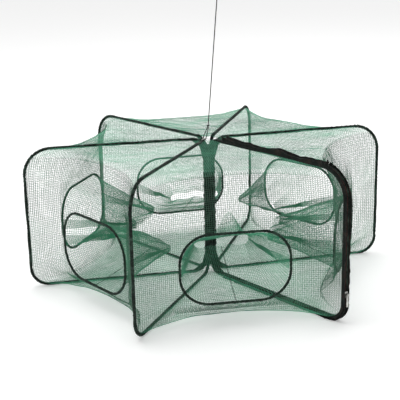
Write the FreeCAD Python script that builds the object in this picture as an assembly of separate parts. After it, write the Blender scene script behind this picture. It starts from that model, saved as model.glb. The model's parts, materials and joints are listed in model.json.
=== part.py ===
import FreeCAD, Part
import math
import os

# Folding crab trap. Millimetres, +Z up, standing open on its lower arms.
#
# Seven closed loops of steel wire, each inside a sewn fabric sleeve, are hinged side by side
# at their inner uprights like the pages of a book. Open, they fan out to six sectors of about
# 60 degrees, and the first and last loop lie side by side and are zipped together. Each sector
# has a top net, a bottom net and a side net with an oval entrance ring and a net funnel.
# Loops are numbered counter-clockwise from above, from one zipped loop (0) to the other (6).
# A loop's own frame has X along the loop, away from the spine, and Y counter-clockwise.

# Driving dimensions
FRAME_REACH = 390.0  # inner upright to outer upright, wire centres
FRAME_HEIGHT = 305.0  # lower arm to upper arm, wire centres
SECTOR_ANGLES = [64.0, 60.0, 58.0, 58.0, 58.0, 62.0]  # open; the zip lets its two sectors spread
ROOT = 3  # the loop that carries the hanging ring

WIRE_D = 4.0
SLEEVE_D = 6.0
SLEEVE_BORE = 4.2
SPINE_BEND_R = 28.0  # both inner corners of a loop
TOP_BEND_R = 58.0  # upper outer corner
BOTTOM_BEND_R = 38.0  # lower outer corner

PAGE_PITCH = 7.5  # between neighbouring loops when folded flat
ZIP_PITCH = 7.4  # between the two zipped loops when open

RING_WIDTH = 220.0  # entrance ring, wire centres
RING_HEIGHT = 143.0
RING_BEND_R = 60.0
RING_CENTRE_Z = 116.0  # above the centre of the lower arms
RING_WIRE_D = 3.0
RING_BINDING_D = 5.0
RING_BINDING_BORE = 3.2
SIDE_BOW = 40.0  # how far the side nets are drawn in at the rings

NET_THICKNESS = 0.5
NET_GAP = 0.8  # between a net and what it is sewn to
FUNNEL_LENGTH = 155.0
FUNNEL_SLIT_WIDTH = 116.0
FUNNEL_SLIT_HEIGHT = 16.0
FUNNEL_SLIT_ROUND = 0.9  # the slit's end radius over half its height

ZIP_TAPE_THICKNESS = 0.4
ZIP_TAPE_GAP = 0.08  # between a sleeve and its zip tape
ZIP_COIL_D = 1.2
ZIP_COIL_OUT = 2.2  # coil centre, outwards from the wire's centre line
ZIP_COIL_ASIDE = 3.0  # coil centre, sideways from the loop's plane
ZIP_START = 42.0  # from the spine to the first teeth on both arms
SLIDER_Z = 58.0  # centre of the slider at its lower stop
SLIDER_WIDTH = 8.6
SLIDER_HEIGHT = 13.0
SLIDER_PLATE = 1.8
SLIDER_CORNER_R = 2.0
SLIDER_GAP = 0.4  # between the sleeves and the slider
BRIDGE_BAR_D = 1.6
BRIDGE_LIFT = 2.6  # slider plate's face to the bar's centre
BRIDGE_POST_WIDTH = 1.4
BRIDGE_POST_HEIGHT = 3.0
BRIDGE_POST_ROOT = 0.8  # sunk into the plate
PULL_LENGTH = 24.0
PULL_DROP = 1.0  # from the bar's centre down to the tab's upper edge
PULL_WIDTH = 5.6
PULL_THICKNESS = 1.2
PULL_CORNER_R = 1.6
PULL_PLAY = 0.3  # between the pull and each post
PULL_EYE_D = 2.4
PULL_EYE_WALL = 0.8
PULL_EYE_SHOULDER = 0.6  # the eye is narrower than the tab by this at each end

HANG_RING_R = 6.2
HANG_RING_D = 2.2
HANG_RING_GAP = 0.3  # between the ring and the sleeve it hangs on
BRIDLE_D = 2.0
BRIDLE_HALF_WIDTH = 4.2
BRIDLE_GAP = 0.6  # between the bight and the ring
BRIDLE_LEG_GAP = 0.2  # between the two legs at the knot
ROPE_D = 2.4
ROPE_LENGTH = 276.0
ROPE_LEAN = (0.0837, -0.0218)  # sideways per unit of height, X and Y
KNOT_D = 7.0
KNOT_TUCK = 0.6  # how far the bridle's legs reach into the knot
ROPE_TUCK = 0.05  # how far the rope's foot reaches into the knot
KNOT_LIFT = 28.0  # above the upper arms
KNOT_BACK = 9.0  # from the root loop's inner upright to over the middle of the spine
END_LOOP_R = 7.5

NEARLY_ALONG = 0.99  # cosine above which an edge counts as running along an axis

LOOPS = ["zip_right", "right", "back_right", "back_left", "left", "front_left", "zip_left"]
SECTORS = ["right_front", "right_back", "back", "left_back", "left_front", "front"]

Z_AXIS = FreeCAD.Vector(0, 0, 1)


def vec(x, y=0.0, z=0.0):
    return FreeCAD.Vector(x, y, z)


def polar(length, degrees):
    """A horizontal vector from its length and heading."""
    angle = math.radians(degrees)
    return vec(length * math.cos(angle), length * math.sin(angle))


def placed(shape, place):
    copy = shape.copy()
    copy.Placement = place.multiply(copy.Placement)
    return copy


# Spine: where each loop's inner upright stands


def heading(loop):
    """Loop 1 points along +X."""
    return sum(SECTOR_ANGLES[:loop]) - SECTOR_ANGLES[0]


def spine_step(pair):
    """From loop pair's inner upright to the next one's, for a hinge pitch of 1."""
    half = SECTOR_ANGLES[pair] / 2
    return polar(math.cos(math.radians(half)), heading(pair) + 90 + half)


def cross(a, b):
    return a.x * b.y - a.y * b.x


def hinge_pitches():
    """Distance between neighbouring loops when folded. The two hinges at the root are wider,
    by just what sets the zipped loops ZIP_PITCH apart when the trap is open."""
    pitches = [PAGE_PITCH] * len(SECTOR_ANGLES)
    gap = polar(ZIP_PITCH, heading(0) - 90)
    for pair, pitch in enumerate(pitches):
        gap = gap - spine_step(pair) * pitch
    before, after = spine_step(ROOT - 1), spine_step(ROOT)
    pitches[ROOT - 1] += cross(gap, after) / cross(before, after)
    pitches[ROOT] += cross(before, gap) / cross(before, after)
    return pitches


def spine_points():
    """Where the inner uprights stand, in order."""
    points = [vec(0)]
    for pair, pitch in enumerate(PITCHES):
        points.append(points[-1] + spine_step(pair) * pitch)
    return points


def loop_place(loop):
    return FreeCAD.Placement(SPINE[loop], FreeCAD.Rotation(Z_AXIS, heading(loop)))


def page_hinge(pair):
    """Point on the upright axis about which loops pair and pair + 1 fold together."""
    return loop_place(pair).multVec(vec(0, PITCHES[pair] / 2))


# Outlines and pipes


def rounded_outline(x0, x1, z0, z1, bends, y=0.0):
    """A closed outline in the XZ plane. Bends are the corner radii: x0z0, x1z0, x1z1, x0z1."""
    corners = [(x0, z0), (x1, z0), (x1, z1), (x0, z1)]
    steps = [(1, 0), (0, 1), (-1, 0), (0, -1)]
    edges = []
    for n, ((cx, cz), r) in enumerate(zip(corners, bends)):
        into, out = steps[n - 1], steps[n]
        start = vec(cx - into[0] * r, y, cz - into[1] * r)
        end = vec(cx + out[0] * r, y, cz + out[1] * r)
        centre = vec(cx - into[0] * r + out[0] * r, y, cz - into[1] * r + out[1] * r)
        outward = (vec(cx, y, cz) - centre).normalize()
        edges.append(Part.Arc(start, centre + outward * r, end).toShape())
    joined = []
    for n, arc in enumerate(edges):
        leave = arc.lastVertex().Point
        arrive = edges[(n + 1) % len(edges)].firstVertex().Point
        joined += [arc, Part.LineSegment(leave, arrive).toShape()]
    return Part.Wire(joined)


def loop_outline(grow=0.0, y=0.0):
    """The outline of one wire loop's centre line, grown outwards by grow."""
    bends = [SPINE_BEND_R + grow, BOTTOM_BEND_R + grow, TOP_BEND_R + grow, SPINE_BEND_R + grow]
    return rounded_outline(-grow, FRAME_REACH + grow, -grow, FRAME_HEIGHT + grow, bends, y)


def ring_outline(grow=0.0, y=0.0):
    """The outline of an entrance ring's centre line about its own centre."""
    half_w = RING_WIDTH / 2 + grow
    half_h = RING_HEIGHT / 2 + grow
    return rounded_outline(-half_w, half_w, -half_h, half_h, [RING_BEND_R + grow] * 4, y)


def round_pipe(path, diameter):
    """A round bar swept along a path."""
    first = path.OrderedEdges[0]
    start = first.valueAt(first.FirstParameter)
    along = first.tangentAt(first.FirstParameter)
    profile = Part.Wire(Part.makeCircle(diameter / 2, start, along))
    return path.makePipeShell([profile], True, False)


def round_tube(path, diameter, bore):
    return round_pipe(path, diameter).cut(round_pipe(path, bore))


def prism(outline, depth):
    """An XZ outline extruded along Y."""
    return Part.Face(outline).extrude(vec(0, depth))


# Loops


def frame_wire():
    return round_pipe(loop_outline(), WIRE_D)


def frame_sleeve():
    return round_tube(loop_outline(), SLEEVE_D, SLEEVE_BORE)


# Sector nets, built about the sector's apex with X along its middle


def half_angle(pair):
    return math.radians(SECTOR_ANGLES[pair] / 2)


def apex_offset(pair):
    """From the crossing of the two loops' planes to either inner upright."""
    return PITCHES[pair] / 2 / math.tan(half_angle(pair))


def sector_place(pair):
    apex = SPINE[pair] - polar(apex_offset(pair), heading(pair))
    return FreeCAD.Placement(apex, FreeCAD.Rotation(Z_AXIS, heading(pair) + SECTOR_ANGLES[pair] / 2))


def sector_side(pair):
    """From the apex to an outer upright."""
    return FRAME_REACH + apex_offset(pair)


def flat_net(pair):
    """A thin triangular sheet between two arms, from the spine's bend to the outer bend."""
    half = SECTOR_ANGLES[pair] / 2
    aside = SLEEVE_D / 2 + NET_GAP
    near = SPINE_BEND_R + apex_offset(pair)
    far = sector_side(pair) - TOP_BEND_R
    arm_a = [polar(s, -half) + polar(aside, 90 - half) for s in (near, far)]
    arm_b = [polar(s, half) + polar(aside, half - 90) for s in (far, near)]
    rim = Part.makePolygon([*arm_a, *arm_b, arm_a[0]])
    return Part.Face(rim).extrude(vec(0, 0, NET_THICKNESS)).translated(vec(0, 0, -NET_THICKNESS / 2))


# Entrances, built about the ring's centre with X along the side, Y inwards


def ring_distance(pair):
    """From the sector's apex to the ring's plane."""
    return sector_side(pair) * math.cos(half_angle(pair)) - SIDE_BOW


def entrance_place(pair):
    centre = sector_place(pair).multVec(vec(ring_distance(pair), 0, RING_CENTRE_Z))
    turn = heading(pair) + SECTOR_ANGLES[pair] / 2 + 90
    return FreeCAD.Placement(centre, FreeCAD.Rotation(Z_AXIS, turn))


def entrance_hinge(pair):
    """The upright line where the ring's plane meets the plane midway between the folded loops.
    It lies just inside the outer upright of the loop nearer the root."""
    half = half_angle(pair)
    mid = PITCHES[pair] / 2
    along = (ring_distance(pair) - mid * math.sin(half)) / math.cos(half) - apex_offset(pair)
    if pair >= ROOT:
        return loop_place(pair).multVec(vec(along, mid))
    return loop_place(pair + 1).multVec(vec(along, -mid))


def ring_wire():
    return round_pipe(ring_outline(), RING_WIRE_D)


def ring_binding():
    return round_tube(ring_outline(), RING_BINDING_D, RING_BINDING_BORE)


def side_net(pair):
    """A wall from upright to upright, drawn in to the ring's plane, open at the ring."""
    end = sector_side(pair) * math.sin(half_angle(pair)) - SLEEVE_D / 2 - NET_GAP
    ring_end = RING_WIDTH / 2 + RING_BINDING_D + NET_GAP
    plan = [vec(-end, -SIDE_BOW), vec(-ring_end, 0), vec(ring_end, 0), vec(end, -SIDE_BOW)]
    thick = vec(0, NET_THICKNESS)
    inner = [p + thick for p in reversed(plan)]
    wall = Part.Face(Part.makePolygon([*plan, *inner, plan[0]])).extrude(vec(0, 0, FRAME_HEIGHT))
    wall.translate(vec(0, 0, -RING_CENTRE_Z))
    bottom = NET_GAP + NET_THICKNESS - RING_CENTRE_Z
    top = FRAME_HEIGHT - NET_GAP - NET_THICKNESS - RING_CENTRE_Z
    bends = [BOTTOM_BEND_R, BOTTOM_BEND_R, TOP_BEND_R, TOP_BEND_R]
    front = -2 * SIDE_BOW
    edge = rounded_outline(-end, end, bottom, top, bends, front)
    opening = ring_outline(RING_BINDING_D / 2 + NET_GAP, front)
    return wall.common(prism(edge, -2 * front)).cut(prism(opening, -2 * front))


def funnel_skin(inset):
    """A solid funnel from the ring to its slit, with its walls set in by inset."""
    mouth = ring_outline(-RING_BINDING_D / 2 - NET_GAP - inset)
    half_w = FUNNEL_SLIT_WIDTH / 2 - inset
    half_h = FUNNEL_SLIT_HEIGHT / 2 - inset
    bends = [half_h * FUNNEL_SLIT_ROUND] * 4
    slit = rounded_outline(-half_w, half_w, -half_h, half_h, bends, FUNNEL_LENGTH)
    return Part.makeLoft([mouth, slit], True, True)


def funnel_net():
    return funnel_skin(0.0).cut(funnel_skin(NET_THICKNESS))


# Zip between loops 0 and 6, built in loop 0's frame. Its sides are mirror images.


def zip_half(side):
    """Tape and toothed coil on the facing side of one zipped loop. Side is the sign of Y."""
    y0 = side * (SLEEVE_D / 2 + ZIP_TAPE_GAP)
    band = prism(loop_outline(ZIP_COIL_OUT - ZIP_COIL_D, y0), side * ZIP_TAPE_THICKNESS)
    band = band.cut(prism(loop_outline(-SLEEVE_D / 2, y0), side * ZIP_TAPE_THICKNESS))
    spine_side = Part.makeBox(2 * ZIP_START, SLEEVE_D * 2, FRAME_HEIGHT * 2)
    spine_side.translate(vec(-ZIP_START, -SLEEVE_D, -FRAME_HEIGHT / 2))
    coil = round_pipe(loop_outline(ZIP_COIL_OUT, side * ZIP_COIL_ASIDE), ZIP_COIL_D)
    return Part.makeCompound([band.cut(spine_side), coil.cut(spine_side)])


def slider_face():
    """X of the slider plate's outer face."""
    return FRAME_REACH + SLEEVE_D / 2 + SLIDER_GAP + SLIDER_PLATE


def bridge_point():
    """The middle of the slider's bar, about which the pull swings."""
    return vec(slider_face() + BRIDGE_LIFT, -ZIP_PITCH / 2, SLIDER_Z)


def edges_through(shape):
    """The edges that run along X, through a plate."""
    return [e for e in shape.Edges if abs(e.tangentAt(e.FirstParameter).x) > NEARLY_ALONG]


def zip_slider():
    """A plate over the closed coils, with a bridge that holds the pull."""
    middle = bridge_point()
    plate = Part.makeBox(SLIDER_PLATE, SLIDER_WIDTH, SLIDER_HEIGHT)
    plate_y = middle.y - SLIDER_WIDTH / 2
    plate.translate(vec(slider_face() - SLIDER_PLATE, plate_y, SLIDER_Z - SLIDER_HEIGHT / 2))
    slider = plate.makeFillet(SLIDER_CORNER_R, edges_through(plate))
    post_inside = PULL_WIDTH / 2 + PULL_PLAY
    for post_y in (post_inside, -post_inside - BRIDGE_POST_WIDTH):
        post_length = BRIDGE_POST_ROOT + BRIDGE_LIFT + BRIDGE_BAR_D / 2
        post = Part.makeBox(post_length, BRIDGE_POST_WIDTH, BRIDGE_POST_HEIGHT)
        post_x = slider_face() - BRIDGE_POST_ROOT
        post.translate(vec(post_x, middle.y + post_y, SLIDER_Z - BRIDGE_POST_HEIGHT / 2))
        slider = slider.fuse(post)
    reach = vec(0, post_inside + BRIDGE_POST_WIDTH / 2)
    bar = Part.makeCylinder(BRIDGE_BAR_D / 2, 2 * reach.y, middle - reach, reach)
    return slider.fuse(bar).removeSplitter()


def zip_pull():
    """A flat tab hanging from the slider's bar by its eye."""
    middle = bridge_point()
    head_end = vec(0, PULL_WIDTH / 2 - PULL_EYE_SHOULDER)
    head_r = PULL_EYE_D / 2 + PULL_EYE_WALL
    head = Part.makeCylinder(head_r, 2 * head_end.y, middle - head_end, head_end)
    tab = Part.makeBox(PULL_THICKNESS, PULL_WIDTH, PULL_LENGTH)
    tab.translate(middle - vec(PULL_THICKNESS / 2, PULL_WIDTH / 2, PULL_LENGTH + PULL_DROP))
    tab = tab.makeFillet(PULL_CORNER_R, edges_through(tab))
    eye_end = vec(0, PULL_WIDTH)
    eye = Part.makeCylinder(PULL_EYE_D / 2, 2 * eye_end.y, middle - eye_end, eye_end)
    return head.fuse(tab).cut(eye).removeSplitter()


# Hanging gear, built in the root loop's frame at its upper inner bend


def bend_point(out=0.0):
    """The middle of the upper inner bend, moved out from the loop by out."""
    diagonal = math.sqrt(0.5)
    centre = vec(SPINE_BEND_R, 0, FRAME_HEIGHT - SPINE_BEND_R)
    return centre + vec(-diagonal, 0, diagonal) * (SPINE_BEND_R + out)


def hang_ring_out():
    """From the middle of the bend to the ring's centre, with the ring pulled up to the sleeve."""
    return HANG_RING_R - HANG_RING_D / 2 - SLEEVE_D / 2 - HANG_RING_GAP


def hanging_ring():
    """A ring round the sleeve, pulled up against its inner side."""
    return Part.makeTorus(HANG_RING_R, HANG_RING_D / 2, bend_point(hang_ring_out()), vec(1, 0, 1))


def knot_centre():
    return vec(-KNOT_BACK, 0, FRAME_HEIGHT + KNOT_LIFT)


def rope_bridle():
    """A bight of rope through the ring, up into the knot as an inverted V."""
    ring_inside = hang_ring_out() + HANG_RING_R - HANG_RING_D / 2
    low = bend_point(ring_inside - BRIDLE_D / 2 - BRIDLE_GAP)
    top = knot_centre() - vec(0, 0, KNOT_D / 2 - KNOT_TUCK)
    up = (top - low).normalize()
    aside = up.cross(vec(0, 1)).normalize()
    turn = low + up * BRIDLE_HALF_WIDTH
    bight_ends = [turn - aside * BRIDLE_HALF_WIDTH, turn + aside * BRIDLE_HALF_WIDTH]
    bight = Part.Wire([Part.Arc(bight_ends[0], low, bight_ends[1]).toShape()])
    bridle = round_pipe(bight, BRIDLE_D)
    leg_offset = aside * ((BRIDLE_D + BRIDLE_LEG_GAP) / 2)
    for foot, head in zip(bight_ends, (top - leg_offset, top + leg_offset)):
        leg = Part.Wire([Part.LineSegment(head, foot).toShape()])
        bridle = bridle.fuse(round_pipe(leg, BRIDLE_D)).fuse(Part.makeSphere(BRIDLE_D / 2, foot))
    return bridle.cut(rope_knot(knot_centre()))


def rope_direction():
    """Unit vector up the rope in the working frame."""
    return vec(ROPE_LEAN[0], ROPE_LEAN[1], 1.0).normalize()


def rope_knot(centre):
    return Part.makeSphere(KNOT_D / 2, centre)


def rope_foot(knot):
    return knot + rope_direction() * (KNOT_D / 2 - ROPE_TUCK)


def hanging_rope(knot):
    rope = Part.makeCylinder(ROPE_D / 2, ROPE_LENGTH, rope_foot(knot), rope_direction())
    return rope.cut(rope_knot(knot))


def rope_end_loop(knot):
    """The loop at the rope's upper end, which goes over a hook or a boat's cleat."""
    up = rope_direction()
    centre = rope_foot(knot) + up * (ROPE_LENGTH + END_LOOP_R + ROPE_D / 2)
    across = up.cross(vec(ROPE_LEAN[0], ROPE_LEAN[1])).normalize()
    return Part.makeTorus(END_LOOP_R, ROPE_D / 2, centre, up.cross(across))


def build():
    """Every node by name, in the working frame."""
    nodes = {}
    wire, sleeve = frame_wire(), frame_sleeve()
    for loop, name in enumerate(LOOPS):
        nodes[f"frame_wire_{name}"] = placed(wire, loop_place(loop))
        nodes[f"frame_sleeve_{name}"] = placed(sleeve, loop_place(loop))
    ring, binding, funnel = ring_wire(), ring_binding(), funnel_net()
    for pair, name in enumerate(SECTORS):
        net = placed(flat_net(pair), sector_place(pair))
        nodes[f"bottom_net_{name}"] = net
        nodes[f"top_net_{name}"] = net.translated(vec(0, 0, FRAME_HEIGHT))
        nodes[f"side_net_{name}"] = placed(side_net(pair), entrance_place(pair))
        nodes[f"funnel_net_{name}"] = placed(funnel, entrance_place(pair))
        nodes[f"ring_wire_{name}"] = placed(ring, entrance_place(pair))
        nodes[f"ring_binding_{name}"] = placed(binding, entrance_place(pair))
    nodes["zip_half_right"] = placed(zip_half(-1), loop_place(0))
    nodes["zip_half_left"] = placed(zip_half(1), loop_place(len(LOOPS) - 1))
    nodes["zip_slider"] = placed(zip_slider(), loop_place(0))
    nodes["zip_pull"] = placed(zip_pull(), loop_place(0))
    nodes["hanging_ring"] = placed(hanging_ring(), loop_place(ROOT))
    nodes["rope_bridle"] = placed(rope_bridle(), loop_place(ROOT))
    knot = loop_place(ROOT).multVec(knot_centre())
    nodes["rope_knot"] = rope_knot(knot)
    nodes["hanging_rope"] = hanging_rope(knot)
    nodes["rope_end_loop"] = rope_end_loop(knot)
    return nodes


PITCHES = hinge_pitches()
SPINE = spine_points()
NODES = build()

# The origin is the middle of the standing trap's underside, leaving out the rope.
ROPE_NODES = ("rope_bridle", "rope_knot", "hanging_rope", "rope_end_loop")
BOX = FreeCAD.BoundBox()
for name, shape in NODES.items():
    if name not in ROPE_NODES:
        BOX.add(shape.optimalBoundingBox(False, False))
SHIFT = vec(-BOX.Center.x, -BOX.Center.y, -BOX.ZMin)

os.makedirs("parts", exist_ok=True)
for name, shape in NODES.items():
    shape.translated(SHIFT).exportStep(f"parts/{name}.step")

print("shift", SHIFT)
print("box", BOX)
for pair, name in enumerate(SECTORS):
    hinges = (page_hinge(pair) + SHIFT, entrance_hinge(pair) + SHIFT)
    print("page hinge", name, hinges[0], "entrance hinge", hinges[1])
print("pull hinge", loop_place(0).multVec(bridge_point()) + SHIFT)
print("knot", loop_place(ROOT).multVec(knot_centre()) + SHIFT, "rope up", rope_direction())
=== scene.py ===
import json
import math

import bpy
import numpy as np
from mathutils import Matrix, Vector


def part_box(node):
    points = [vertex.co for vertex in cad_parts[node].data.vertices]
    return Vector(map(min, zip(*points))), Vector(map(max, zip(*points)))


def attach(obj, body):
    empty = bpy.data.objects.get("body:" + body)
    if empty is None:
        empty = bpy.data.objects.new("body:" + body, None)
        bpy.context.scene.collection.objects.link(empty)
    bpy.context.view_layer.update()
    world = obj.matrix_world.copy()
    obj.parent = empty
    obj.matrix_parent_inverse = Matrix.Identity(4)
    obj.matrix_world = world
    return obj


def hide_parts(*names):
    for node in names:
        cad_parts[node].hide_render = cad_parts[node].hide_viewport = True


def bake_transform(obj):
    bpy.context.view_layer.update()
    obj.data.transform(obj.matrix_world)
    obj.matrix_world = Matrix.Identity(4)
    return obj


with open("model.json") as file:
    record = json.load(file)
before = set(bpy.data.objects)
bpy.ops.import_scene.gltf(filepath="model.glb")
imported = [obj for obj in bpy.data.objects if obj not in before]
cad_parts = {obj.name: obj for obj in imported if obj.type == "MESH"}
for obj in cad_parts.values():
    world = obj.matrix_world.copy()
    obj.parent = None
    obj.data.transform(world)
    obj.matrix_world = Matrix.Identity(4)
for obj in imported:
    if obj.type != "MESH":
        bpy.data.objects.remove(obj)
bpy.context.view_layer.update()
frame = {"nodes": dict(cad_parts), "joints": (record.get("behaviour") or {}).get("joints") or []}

# Metres, in the row frame. Loops and sectors run counter-clockwise from above.
LOOPS = ["zip_right", "right", "back_right", "back_left", "left", "front_left", "zip_left"]
SECTORS = ["right_front", "right_back", "back", "left_back", "left_front", "front"]
ROOT = 3
HUB = np.array([-0.00035, 0.00525])

WIRE_R = 0.002
SLEEVE_R = 0.003
SPINE_BEND_R = 0.028
TOP_BEND_R = 0.058
BOTTOM_BEND_R = 0.038
RING_BEND_R = 0.060
RING_HALF_WIDTH = 0.110
RING_WIRE_R = 0.0015
RING_BINDING_R = 0.0025
FUNNEL_LENGTH = 0.155
FUNNEL_SLANT = 0.168
GROUND_Z = -0.0003
FUNNEL_SLIT = (0.058, 0.008)

MESH_PITCH = 0.0041
# Three-sided yarn sections, as (in the net, off the net) pairs: deep for walls, flat for tops.
DEEP_YARN = np.array([(-0.00028, -0.00016), (0.00028, -0.00016), (0.0, 0.00032)])
FLAT_YARN = np.array([(-0.00028, -0.0001), (0.00028, -0.0001), (0.0, 0.0002)])
RIM_BOW = 0.074
RIM_R = 0.020


# ---------------------------------------------------------------- materials


def new_material(name):
    mat = bpy.data.materials.new(name)
    mat.use_nodes = True
    tree = mat.node_tree
    shader = tree.nodes["Principled BSDF"]
    return mat, tree, shader


def add_node(tree, kind, **values):
    node = tree.nodes.new(kind)
    for key, value in values.items():
        if key in node.inputs:
            node.inputs[key].default_value = value
        else:
            setattr(node, key, value)
    return node


def noise(tree, scale, detail=3.0, stretch=None, distortion=0.0):
    """A noise texture in the row frame, with its coordinates stretched if asked."""
    place = tree.nodes.new("ShaderNodeTexCoord")
    texture = add_node(tree, "ShaderNodeTexNoise", Scale=scale, Detail=detail, Distortion=distortion)
    where = place.outputs["Object"]
    if stretch:
        mapping = add_node(tree, "ShaderNodeMapping", Scale=stretch)
        tree.links.new(where, mapping.inputs["Vector"])
        where = mapping.outputs["Vector"]
    tree.links.new(where, texture.inputs["Vector"])
    return texture.outputs["Fac"]


def ramp(tree, fac, stops):
    node = tree.nodes.new("ShaderNodeValToRGB")
    elements = node.color_ramp.elements
    while len(elements) < len(stops):
        elements.new(0.5)
    for element, (at, colour) in zip(elements, stops):
        element.position = at
        element.color = (*colour, 1.0)
    tree.links.new(fac, node.inputs["Fac"])
    return node.outputs["Color"]


def spread_range(tree, fac, low, high):
    node = add_node(tree, "ShaderNodeMapRange")
    node.inputs["To Min"].default_value = low
    node.inputs["To Max"].default_value = high
    tree.links.new(fac, node.inputs["Value"])
    return node.outputs["Result"]


def bump(tree, height, strength, distance, shader):
    node = add_node(tree, "ShaderNodeBump", Strength=strength, Distance=distance)
    tree.links.new(height, node.inputs["Height"])
    tree.links.new(node.outputs["Normal"], shader.inputs["Normal"])
    return node


def linear(rgb):
    """sRGB 0-255 to linear."""
    return tuple(((c / 255 + 0.055) / 1.055) ** 2.4 if c > 10.3 else c / 255 / 12.92 for c in rgb)


def base_colour(tree, shader, fac, *stops):
    """The base colour as a ramp of sRGB colours over a value."""
    colour = ramp(tree, fac, [(at, linear(rgb)) for at, rgb in stops])
    tree.links.new(colour, shader.inputs["Base Color"])


def net_material(name, light, dark, green):
    """Twisted polyethylene yarn: slightly see-through, with faded and dirty patches."""
    mat, tree, shader = new_material(name)
    base_colour(tree, shader, noise(tree, 9.0, 4.0), (0.30, dark), (0.52, green), (0.72, light))
    twist = noise(tree, 900.0, 2.0)
    tree.links.new(spread_range(tree, twist, 0.38, 0.62), shader.inputs["Roughness"])
    bump(tree, twist, 0.4, 0.0002, shader)
    shader.inputs["Subsurface Weight"].default_value = 0.15
    shader.inputs["Subsurface Radius"].default_value = (0.001, 0.0014, 0.001)
    shader.inputs["Sheen Weight"].default_value = 0.1
    return mat


def cloth_material(name, dark, mid, light, weave=1400.0):
    """Woven binding: fine weave bump, worn lighter in random patches."""
    mat, tree, shader = new_material(name)
    wear = noise(tree, 60.0, 6.0, distortion=0.4)
    base_colour(tree, shader, wear, (0.28, dark), (0.5, mid), (0.75, light))
    place = tree.nodes.new("ShaderNodeTexCoord")
    both = add_node(tree, "ShaderNodeMath", operation="ADD")
    for k, way in enumerate(("Z", "DIAGONAL")):
        yarns = add_node(tree, "ShaderNodeTexWave", Scale=weave, Distortion=1.2, Detail=1.0)
        yarns.bands_direction = way
        tree.links.new(place.outputs["Object"], yarns.inputs["Vector"])
        tree.links.new(yarns.outputs["Fac"], both.inputs[k])
    bump(tree, both.outputs["Value"], 0.5, 0.0003, shader)
    tree.links.new(spread_range(tree, wear, 0.95, 0.75), shader.inputs["Roughness"])
    shader.inputs["Sheen Weight"].default_value = 0.06
    shader.inputs["Sheen Roughness"].default_value = 0.6
    shader.inputs["Specular IOR Level"].default_value = 0.25
    return mat


def yarn_material(name, dark, light, scale=300.0, rough=(0.7, 0.9)):
    mat, tree, shader = new_material(name)
    fac = noise(tree, scale, 4.0)
    base_colour(tree, shader, fac, (0.3, dark), (0.7, light))
    tree.links.new(spread_range(tree, fac, *rough), shader.inputs["Roughness"])
    bump(tree, noise(tree, 2200.0, 2.0), 0.35, 0.0002, shader)
    return mat


def metal_material(name, dark, light, rough=(0.22, 0.42)):
    mat, tree, shader = new_material(name)
    wear = noise(tree, 180.0, 5.0)
    base_colour(tree, shader, wear, (0.35, dark), (0.65, light))
    scratches = noise(tree, 500.0, 3.0, stretch=(1.0, 1.0, 0.05))
    tree.links.new(spread_range(tree, scratches, *rough), shader.inputs["Roughness"])
    bump(tree, scratches, 0.15, 0.0001, shader)
    shader.inputs["Metallic"].default_value = 1.0
    return mat


def plastic_material(name, dark, light, rough=(0.25, 0.45)):
    mat, tree, shader = new_material(name)
    stain = noise(tree, 220.0, 5.0)
    base_colour(tree, shader, stain, (0.3, dark), (0.6, light))
    tree.links.new(spread_range(tree, stain, *rough), shader.inputs["Roughness"])
    bump(tree, noise(tree, 900.0, 2.0), 0.1, 0.0001, shader)
    return mat


# One netting yarn in three tones. It is painted lighter for the flat nets, as painted light from above. It
# is painted darker for the upright side nets, as painted shade. The funnels sit between the two, as part
# painted shade.
LIT_FLAT_NET = net_material("net_yarn", (106, 204, 164), (56, 134, 104), (80, 172, 134))
SHADED_SIDE_NET = net_material("side_net_yarn", (76, 156, 118), (30, 84, 60), (46, 116, 84))
PART_SHADED_FUNNEL_NET = net_material("funnel_yarn", (84, 186, 144), (36, 108, 80), (54, 148, 110))
CLOTH = cloth_material("binding_cloth", (6, 14, 10), (20, 36, 28), (72, 98, 84))
RING_CLOTH = cloth_material("ring_cloth", (12, 24, 18), (26, 46, 36), (58, 84, 70))
FLAP = cloth_material("zip_flap_cloth", (10, 14, 11), (22, 30, 25), (54, 38, 32))
STITCH = yarn_material("stitch_yarn", (12, 24, 18), (44, 64, 54))
LACE = yarn_material("lace_yarn", (16, 30, 22), (60, 84, 70))
TIE = yarn_material("tie_yarn", (12, 22, 16), (40, 56, 46))
ROPE = yarn_material("rope_fibre", (8, 10, 10), (34, 38, 37), 240.0)
COIL = plastic_material("zip_coil_nylon", (44, 16, 14), (92, 40, 34), (0.3, 0.5))
STEEL = metal_material("spring_steel", (120, 122, 122), (176, 178, 178))
SLIDER = metal_material("slider_alloy", (150, 150, 146), (206, 206, 200))
WHITE = plastic_material("white_plastic", (200, 200, 194), (238, 238, 234))


# ---------------------------------------------------------------- mesh helpers


def unit(rows):
    """Each row at length 1."""
    return rows / np.maximum(np.linalg.norm(rows, axis=1), 1e-12)[:, None]


def mesh_object(name, verts, faces, material, smooth=True):
    """Faces is an (n, 3) or (n, 4) integer array."""
    mesh = bpy.data.meshes.new(name)
    verts = np.asarray(verts, np.float32)
    faces = np.asarray(faces, np.int32)
    corners = faces.shape[1]
    mesh.vertices.add(len(verts))
    mesh.vertices.foreach_set("co", verts.ravel())
    mesh.loops.add(faces.size)
    mesh.loops.foreach_set("vertex_index", faces.ravel())
    mesh.polygons.add(len(faces))
    mesh.polygons.foreach_set("loop_start", np.arange(0, faces.size, corners, dtype=np.int32))
    mesh.polygons.foreach_set("use_smooth", np.full(len(faces), smooth))
    mesh.update(calc_edges=True)
    mesh.validate()
    mesh.materials.append(material)
    obj = bpy.data.objects.new(name, mesh)
    bpy.context.scene.collection.objects.link(obj)
    return obj


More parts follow.
